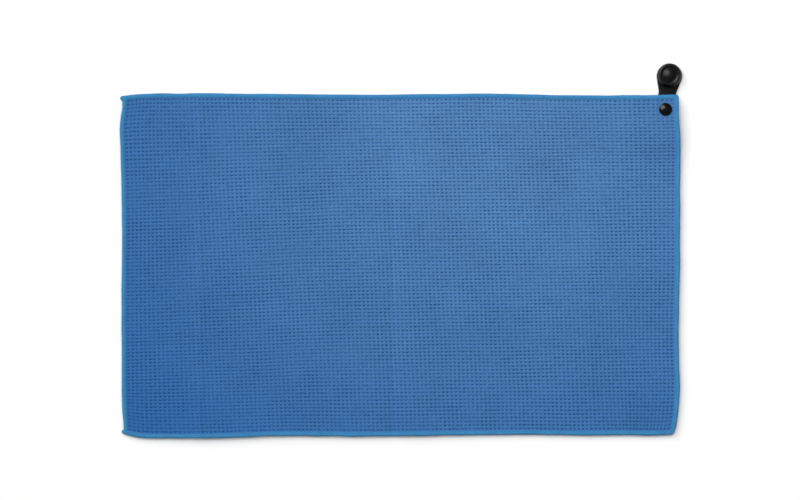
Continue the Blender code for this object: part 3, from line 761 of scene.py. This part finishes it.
def make_tab():
    """The silicone moulding: strap, neck and pod, bored for the post and hollow below for the magnet."""
    s, t, inside = tab_plan()
    top = curve(POD_PROFILE, np.hypot(t, s - POD_REACH - RING_SHIFT)) - fillet(inside, TAB_TOP_EDGE)
    bottom = fillet(inside, TAB_BOTTOM_EDGE)
    s = np.concatenate([s, s[:, ::-1]], 1)
    t = np.concatenate([t, t[:, ::-1]], 1)
    z = np.concatenate([top, bottom[:, ::-1]], 1)
    x = STUD.x + s * TAB_DIRECTION.x + t * TAB_ACROSS.x
    y = STUD.y + s * TAB_DIRECTION.y + t * TAB_ACROSS.y
    number = np.arange(x.size).reshape(x.shape)
    beside = np.roll(number, -1, axis=1)
    faces = np.stack([number[:-1], beside[:-1], beside[1:], number[1:]], -1).reshape(-1, 4)
    tab = mesh_object("silicone_tab", np.stack([x, y, z], -1).reshape(-1, 3), faces)
    weld(tab)
    pocket = [(0, -MM), (POCKET_RADIUS, -MM), (POCKET_RADIUS, POCKET_ROOF), (0, POCKET_ROOF)]
    recess, recess_roof = POST_HEAD_RADIUS + GAP, POST_HEAD_THICKNESS + GAP
    shank, above = POST_SHANK + GAP, 2 * STRAP_TOP
    bore = [(0, -MM), (recess, -MM), (recess, recess_roof), (shank, recess_roof), (shank, above), (0, above)]
    cut(tab, [turned("pocket", pocket, POD), turned("bore", bore, STUD)])
    tab.data.set_sharp_from_angle(angle=math.radians(50.0))
    return tab


# --- materials ------------------------------------------------------------------


class Nodes:
    """A Principled material and short ways to add nodes to it."""

    def __init__(self, name):
        self.material = bpy.data.materials.new(name)
        self.material.use_nodes = True
        self.tree = self.material.node_tree
        self.shader = self.tree.nodes["Principled BSDF"]

    def add(self, kind, settings=None, **links):
        """A node. settings are its properties; links name its inputs, each a value or a node's output."""
        node = self.tree.nodes.new(kind)
        for key, value in (settings or {}).items():
            setattr(node, key, value)
        for key, value in links.items():
            self.set(node, key.replace("_", " "), value)
        return node

    def set(self, node, key, value):
        """Sets one input of a node, by its name or its number, to a value or a link."""
        socket = node.inputs[int(key) if key.isdigit() else key]
        if isinstance(value, bpy.types.NodeSocket):
            self.tree.links.new(value, socket)
        else:
            socket.default_value = value

    def math(self, operation, first, second=None):
        """A sum, product or power of one or two numbers."""
        node = self.tree.nodes.new("ShaderNodeMath")
        node.operation = operation
        self.set(node, "0", first)
        if second is not None:
            self.set(node, "1", second)
        return node.outputs[0]

    def mix(self, factor, first, second, blend="MIX"):
        """One colour laid over another by a factor."""
        node = self.tree.nodes.new("ShaderNodeMix")
        node.data_type = "RGBA"
        node.blend_type = blend
        self.set(node, "0", factor)
        self.set(node, "6", first)
        self.set(node, "7", second)
        return node.outputs[2]

    def noise(self, vector, scale, detail=2.0, roughness=0.5):
        """Soft noise, about 0.5 on average."""
        node = self.add("ShaderNodeTexNoise", Vector=vector, Scale=scale, Detail=detail, Roughness=roughness)
        return node.outputs["Fac"]

    def mapped(self, vector, scale, shift=(0.0, 0.0, 0.0)):
        """A vector scaled and then shifted."""
        return self.add("ShaderNodeMapping", Vector=vector, Location=shift, Scale=scale).outputs[0]

    def attribute(self, name):
        """One of the mesh's own numbers."""
        return self.add("ShaderNodeAttribute", {"attribute_name": name}).outputs["Fac"]

    def shaded(self, tone, shade):
        """A colour made lighter or darker by a factor."""
        grey = self.add("ShaderNodeCombineColor", Red=shade, Green=shade, Blue=shade).outputs[0]
        return self.mix(1.0, tone, grey, "MULTIPLY")

    def span(self, value, low, high, to_low, to_high):
        """A number taken from one range to another, and held at its ends."""
        node = self.tree.nodes.new("ShaderNodeMapRange")
        for index, number in enumerate((value, low, high, to_low, to_high)):
            self.set(node, str(index), number)
        return node.outputs[0]

    def bump(self, height, strength, distance):
        """Fine relief over the whole material."""
        node = self.add("ShaderNodeBump", Height=height, Strength=strength, Distance=distance)
        self.set(self.shader, "Normal", node.outputs[0])

    def finish(self, **values):
        """Sets the shader's own inputs, and gives the material."""
        for key, value in values.items():
            self.set(self.shader, key.replace("_", " "), value)
        return self.material


def colour(red, green, blue):
    """A colour given in sRGB, 0 to 255, as linear light."""
    shares = (red / 255, green / 255, blue / 255)
    linear = [share / 12.92 if share <= 0.04045 else ((share + 0.055) / 1.055) ** 2.4 for share in shares]
    return (*linear, 1.0)


def waffle_material():
    """Blue microfibre: darker in the pits and paler on the ridges, a painted shade and sheen, fuzzy, and
    uneven from place to place.

    A painted sheen makes the cloth palest near the far side, right of the middle, and its blue deepens away
    from there.
    """
    n = Nodes("waffle_microfibre")
    weave = n.add("ShaderNodeUVMap", {"uv_map": "Weave"}).outputs[0]
    # Painted shade in the pits and painted sheen on the ridges, set by how deep each point lies in its pit.
    deep = n.math("POWER", n.span(n.attribute("pit"), 0.02, 0.80, 0.0, 1.0), 0.8)
    base = n.mix(deep, colour(75, 120, 170), colour(0, 62, 129))
    fuzz = n.noise(weave, 2600.0, 3.0, 0.7)
    bright = n.mix(n.span(fuzz, 0.35, 0.65, 0.0, 0.35), base, colour(94, 136, 182))
    patch = n.noise(weave, 14.0, 3.0, 0.55)
    fleck = n.noise(weave, 620.0, 2.0, 0.6)
    streak = n.noise(n.mapped(weave, (30.0, 260.0, 1.0)), 1.0, 2.0, 0.6)
    mottle = n.math("ADD", n.span(fleck, 0.3, 0.7, -0.11, 0.11), n.span(streak, 0.3, 0.7, -0.04, 0.04))
    toned = n.shaded(bright, n.math("ADD", n.span(patch, 0.3, 0.7, 0.93, 1.05), mottle))
    # Painted sheen: the blue is palest about one place and deepens away from it.
    sheen_place = n.mapped(weave, SHEEN_SCALE, SHEEN_SHIFT)
    away = n.add("ShaderNodeVectorMath", {"operation": "LENGTH"}, Vector=sheen_place).outputs["Value"]
    final = n.mix(n.span(away, 0.06, 0.42, 0.0, 0.60), toned, colour(8, 80, 146))
    n.bump(fuzz, 0.35, 0.0003)
    return n.finish(
        Base_Color=final,
        Roughness=0.95,
        Sheen_Weight=0.08,
        Sheen_Roughness=0.5,
        Sheen_Tint=colour(150, 190, 235),
        Specular_IOR_Level=0.05,
    )


def thread_material():
    """Paler blue overlock thread; painted shade between strands and round the outer edge; darker towards the
    cloth.
    """
    n = Nodes("overlock_thread")
    weave = n.add("ShaderNodeUVMap", {"uv_map": "Weave"}).outputs[0]
    # Painted shade between the strands.
    base = n.mix(n.span(n.attribute("pit"), 0.1, 0.9, 0.0, 0.75), colour(44, 130, 182), colour(16, 86, 138))
    lit = n.mix(n.math("MULTIPLY", n.attribute("needle"), 0.5), base, colour(70, 144, 194))
    fibre = n.noise(n.mapped(weave, (5200.0, 900.0, 1.0)), 1.0, 3.0, 0.6)
    fuzzy = n.mix(n.span(fibre, 0.4, 0.7, 0.0, 0.3), lit, colour(92, 158, 204))
    # Painted shade round the outer edge, where the band turns down away from the light.
    outer_shaded = n.mix(n.math("MULTIPLY", n.attribute("outer"), 0.5), fuzzy, colour(26, 84, 124))
    # A darker tone towards the cloth.
    darker_inwards = n.mix(n.math("MULTIPLY", n.attribute("inner"), 0.65), outer_shaded, colour(38, 106, 162))
    final = n.shaded(darker_inwards, n.span(n.noise(weave, 60.0, 2.0), 0.3, 0.7, 0.92, 1.06))
    n.bump(fibre, 0.4, 0.0001)
    return n.finish(
        Base_Color=final,
        Roughness=0.7,
        Sheen_Weight=0.3,
        Sheen_Roughness=0.4,
        Sheen_Tint=colour(170, 215, 245),
        Specular_IOR_Level=0.3,
    )


def silicone_material():
    """Satin black silicone, with a faint moulded grain."""
    n = Nodes("black_silicone")
    place = n.add("ShaderNodeTexCoord").outputs["Object"]
    grain = n.noise(place, 2400.0, 3.0, 0.6)
    smear = n.noise(place, 160.0, 3.0, 0.6)
    tone = n.mix(n.span(smear, 0.35, 0.7, 0.0, 1.0), colour(3, 3, 4), colour(9, 9, 10))
    n.bump(grain, 0.12, 0.0001)
    roughness = n.span(smear, 0.3, 0.7, 0.24, 0.36)
    return n.finish(Base_Color=tone, Roughness=roughness, Specular_IOR_Level=0.28)


def enamel_material():
    """Glossy black enamel with the faintest orange peel and a few dull smudges."""
    n = Nodes("black_enamel")
    place = n.add("ShaderNodeTexCoord").outputs["Object"]
    peel = n.noise(place, 700.0, 2.0)
    smudge = n.noise(place, 320.0, 4.0, 0.65)
    tone = n.mix(n.span(smudge, 0.5, 0.8, 0.0, 1.0), colour(4, 4, 5), colour(12, 12, 13))
    n.bump(peel, 0.05, 0.0001)
    roughness = n.span(smudge, 0.45, 0.75, 0.10, 0.22)
    return n.finish(Base_Color=tone, Roughness=roughness, Specular_IOR_Level=0.28)


def plate_material(name, red, green, blue, roughness):
    """Plated metal: bright, with fine turning marks and dull patches."""
    n = Nodes(name)
    place = n.add("ShaderNodeTexCoord").outputs["Object"]
    rings = {"wave_type": "RINGS", "rings_direction": "Z"}
    centre = n.mapped(place, (1.0, 1.0, 1.0), (-STUD.x, -STUD.y, 0.0))
    marks = n.add("ShaderNodeTexWave", rings, Vector=centre, Scale=1400.0, Distortion=1.5).outputs["Fac"]
    dull = n.noise(place, 420.0, 4.0, 0.65)
    worn = n.span(dull, 0.35, 0.75, 0.0, 1.0)
    tone = n.mix(worn, colour(red, green, blue), colour(red * 0.82, green * 0.81, blue * 0.79))
    n.bump(marks, 0.06, 0.00005)
    spread = n.span(dull, 0.35, 0.75, roughness, roughness + 0.18)
    return n.finish(Base_Color=tone, Metallic=1.0, Roughness=spread)


def towel():
    """The cloth and its four runs of edging."""
    cloth_look, thread_look = waffle_material(), thread_material()
    cloth = make_cloth()
    cloth.data.materials.append(cloth_look)
    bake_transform(cloth)
    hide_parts("cloth_right", "cloth_left")
    runs = []
    for name, sign in (("top", 1), ("bottom", -1)):
        start, end = -HALF_LENGTH - THREAD_TAIL, HALF_LENGTH - CORNER_TUCK
        run = make_edging(f"overlock_{name}", start, end, side_place(sign), SEED + 30 + sign)
        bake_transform(run)
        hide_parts(f"edging_{name}_right", f"edging_{name}_left")
        runs.append(run)
    reach_y = HALF_WIDTH - CORNER_TUCK
    for name, sign in (("right", 1), ("left", -1)):
        run = make_edging(f"overlock_{name}", -reach_y, reach_y, end_place(sign), SEED + 40 + sign)
        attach(run, f"{name}_half")
        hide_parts(f"edging_{name}")
        runs.append(run)
    for run in runs:
        run.data.materials.append(thread_look)


# --- floor, lights and camera ---------------------------------------------------


def area_light(name, place, size, energy):
    """A square soft box that faces the towel's middle."""
    light = bpy.data.lights.new(name, "AREA")
    light.shape = "SQUARE"
    light.size = size
    light.energy = energy
    lamp = bpy.data.objects.new(name, light)
    bpy.context.scene.collection.objects.link(lamp)
    lamp.location = place
    lamp.rotation_euler = Vector(place).to_track_quat("Z", "Y").to_euler()
    return lamp


def studio():
    """A white floor, soft light from the upper left, and a camera that looks straight down."""
    scene = bpy.context.scene
    scene.view_settings.view_transform = "Standard"
    bpy.ops.mesh.primitive_plane_add(size=FLOOR_SIZE, location=(0.0, 0.0, -FLOOR_DROP))
    floor = bpy.context.object
    floor.name = "floor"
    white = (FLOOR_WHITE, FLOOR_WHITE, FLOOR_WHITE, 1.0)
    paper = Nodes("white_floor").finish(Base_Color=white, Roughness=0.9, Specular_IOR_Level=0.1)
    floor.data.materials.append(paper)
    world = bpy.data.worlds.new("studio")
    world.use_nodes = True
    world.node_tree.nodes["Background"].inputs[0].default_value = (1.0, 1.0, 1.0, 1.0)
    world.node_tree.nodes["Background"].inputs[1].default_value = WORLD_STRENGTH
    scene.world = world
    sun = bpy.data.lights.new("key", "SUN")
    sun.energy = KEY_STRENGTH
    sun.angle = KEY_SPREAD
    key = bpy.data.objects.new("key", sun)
    scene.collection.objects.link(key)
    key.rotation_euler = Vector(KEY_FROM).to_track_quat("Z", "Y").to_euler()
    area_light("high", HIGH_PLACE, HIGH_SIZE, HIGH_POWER)
    for lamp in (
        area_light("fill", FILL_PLACE, FILL_SIZE, FILL_POWER),
        area_light("room", ROOM_PLACE, ROOM_SIZE, ROOM_POWER),
    ):
        lamp.visible_glossy = False
        lamp.visible_camera = False
    camera = bpy.data.cameras.new("camera")
    camera.lens = LENS_MM
    camera.sensor_width = SENSOR_MM
    viewer = bpy.data.objects.new("camera", camera)
    scene.collection.objects.link(viewer)
    viewer.location = (*VIEW_CENTRE, CLOTH_TOP + VIEW_WIDTH * LENS_MM / SENSOR_MM)
    scene.camera = viewer


def settle(piece, material, body, slot, *nodes):
    """Gives a piece its material, its body and the CAD nodes it stands for. slot, the finish's name, is not
    used.
    """
    piece.data.materials.append(material)
    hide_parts(*nodes)
    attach(piece, body)


def press_stud():
    """The press stud through the corner of the cloth."""
    nickel = plate_material("nickel_plate", 214, 211, 205, 0.20)
    settle(make_cap(), enamel_material(), "right_half", "black_enamel", "snap_cap")
    settle(make_socket(), nickel, "right_half", "nickel_plate", "snap_socket")
    settle(make_spring(), nickel, "right_half", "nickel_plate", "socket_spring")
    settle(make_stud(), nickel, "snap_male", "nickel_plate", "snap_stud")
    settle(make_post(), nickel, "snap_male", "nickel_plate", "snap_post")


def magnet_tab():
    """The silicone tab, and the magnet in its pod."""
    silicone = silicone_material()
    tab = make_tab()
    tab.data.materials.clear()
    tab.data.materials.append(silicone)
    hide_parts("tab_strap", "tab_pod")
    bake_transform(tab)
    magnet = plate_material("magnet_plate", 196, 196, 198, 0.26)
    settle(make_magnet(), magnet, "pod", "magnet_plate", "magnet")
    settle(make_magnet_cap(), silicone, "pod", "black_silicone", "magnet_cap")


studio()
towel()
press_stud()
magnet_tab()
